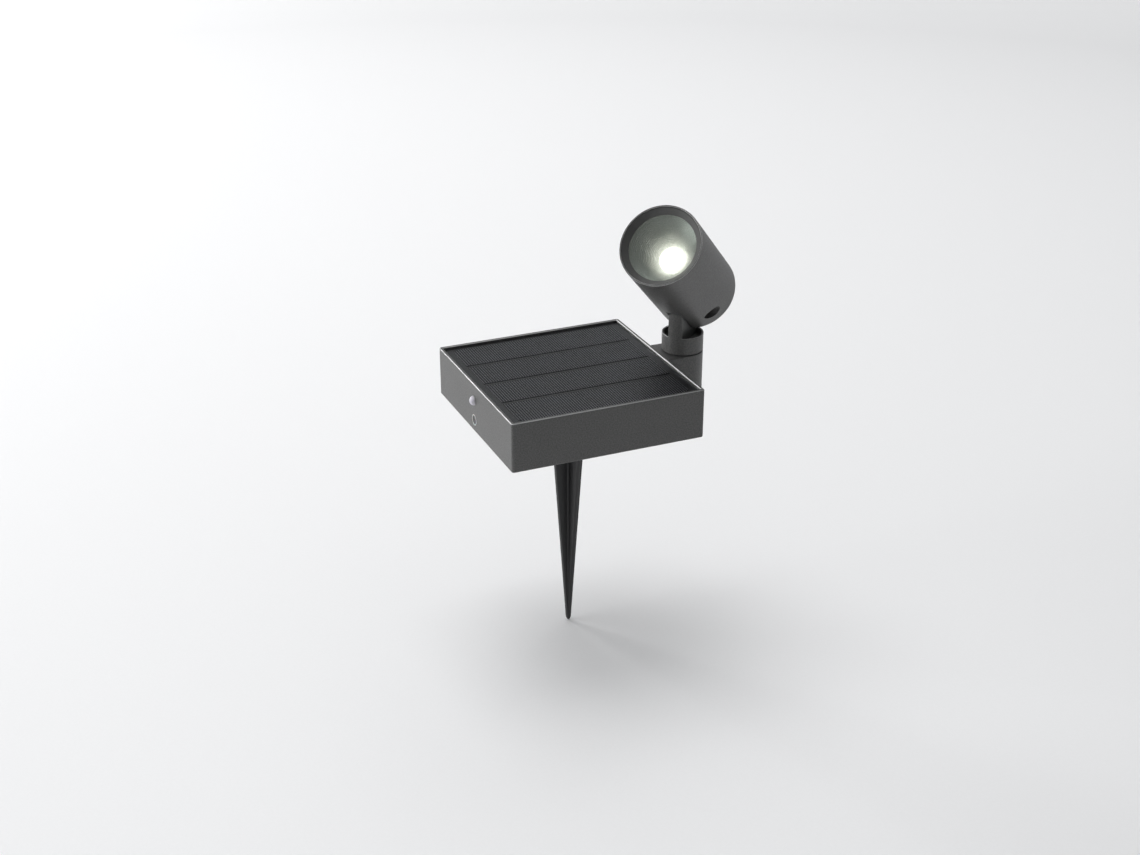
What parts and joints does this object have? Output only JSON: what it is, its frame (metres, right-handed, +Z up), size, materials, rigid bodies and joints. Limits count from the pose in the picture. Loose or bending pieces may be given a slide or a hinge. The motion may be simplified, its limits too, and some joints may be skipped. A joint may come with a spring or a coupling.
{
  "type": "solar garden light",
  "caption": "Square solar housing on a ground spike, with a motion sensor, a power button and a round spotlight head that swivels and tilts at its back edge.",
  "frame": {"origin": "middle of the square housing's underside, on the ground spike's axis", "axes": "+Z up out of the ground, -Y out of the sensor and button face, +Y towards the lamp's lug"},
  "size_m": [0.15, 0.215, 0.338],
  "materials": {
    "powder_coat": "fine-textured matte charcoal powder coat on die-cast aluminium",
    "spike_plastic": "satin dark grey moulded plastic",
    "cover_plastic": "matte black moulded plastic",
    "panel_clear": "clear toughened cover",
    "panel_cells": "dark silicon cells with fine silver fingers",
    "panel_board": "black backing board",
    "seal_rubber": "soft black seal",
    "bearing_plastic": "low-friction polymer",
    "plated_steel": "zinc-plated steel",
    "insert_brass": "brass",
    "battery_wrap": "plain blue shrink wrap",
    "contact_metal": "nickel strip",
    "board_green": "green circuit board",
    "component_black": "black moulded component",
    "component_can": "bare aluminium",
    "emitter_board_white": "white solder mask on aluminium",
    "emitter_glow": "phosphor that glows white when lit",
    "dome_white": "milky white sensor lens",
    "ring_grey": "light grey ring",
    "button_black": "matte charcoal cap",
    "reflector_satin": "satin metallised reflector",
    "front_glass": "clear glass"
  },
  "bodies": {
    "housing": {"housing": "powder_coat", "panel_seal": "seal_rubber", "panel_backing": "panel_board", "solar_cells": "panel_cells", "panel_cover": "panel_clear", "bottom_cover": "cover_plastic", "cover_screws": "plated_steel", "bottom_gasket": "seal_rubber", "ground_spike": "spike_plastic", "spike_insert": "insert_brass", "spike_stud": "plated_steel", "battery_cradle": "cover_plastic", "battery_cells": "battery_wrap", "battery_contacts": "contact_metal", "control_board": "board_green", "board_screws": "plated_steel", "wire_connectors": "cover_plastic", "board_capacitors": "component_can", "board_inductor": "component_black", "sensor_board": "board_green", "sensor_screws": "plated_steel", "pir_sensor": "component_can", "tact_switch": "cover_plastic", "pir_lens": "dome_white", "button_ring": "ring_grey", "glide_ring": "bearing_plastic", "swivel_bush": "bearing_plastic"},
    "button": {"power_button": "button_black", "button_seal": "seal_rubber", "switch_plunger": "button_black"},
    "neck": {"neck": "powder_coat", "swivel_tube": "plated_steel", "swivel_washer": "plated_steel", "swivel_nut": "plated_steel"},
    "head": {"head_housing": "powder_coat", "front_bezel": "powder_coat", "front_glass": "front_glass", "glass_seal": "seal_rubber", "reflector": "reflector_satin", "led_emitter": "emitter_glow", "emitter_board": "emitter_board_white", "emitter_screws": "plated_steel", "heat_spreader": "component_can", "spreader_screws": "plated_steel", "tilt_screw": "plated_steel", "tilt_nut": "plated_steel", "tilt_washers": "bearing_plastic", "lead_grommet": "seal_rubber"}
  },
  "joints": [
    {"name": "head_swivel", "type": "hinge", "parent": "housing", "child": "neck", "pos_m": [0, 0.094, 0], "axis": [0, 0, 1], "range_deg": [-215, 135]},
    {"name": "head_tilt", "type": "hinge", "parent": "neck", "child": "head", "pos_m": [0, 0.094, 0.0716], "axis": [-0.766, -0.6428, 0], "range_deg": [-39.5, 50.5]},
    {"name": "power_button_press", "type": "slide", "parent": "housing", "child": "button", "axis": [0, 1, 0], "range_m": [0, 0.0006], "stiffness_N_per_m": 2500, "springref_m": -0.0004}
  ]
}
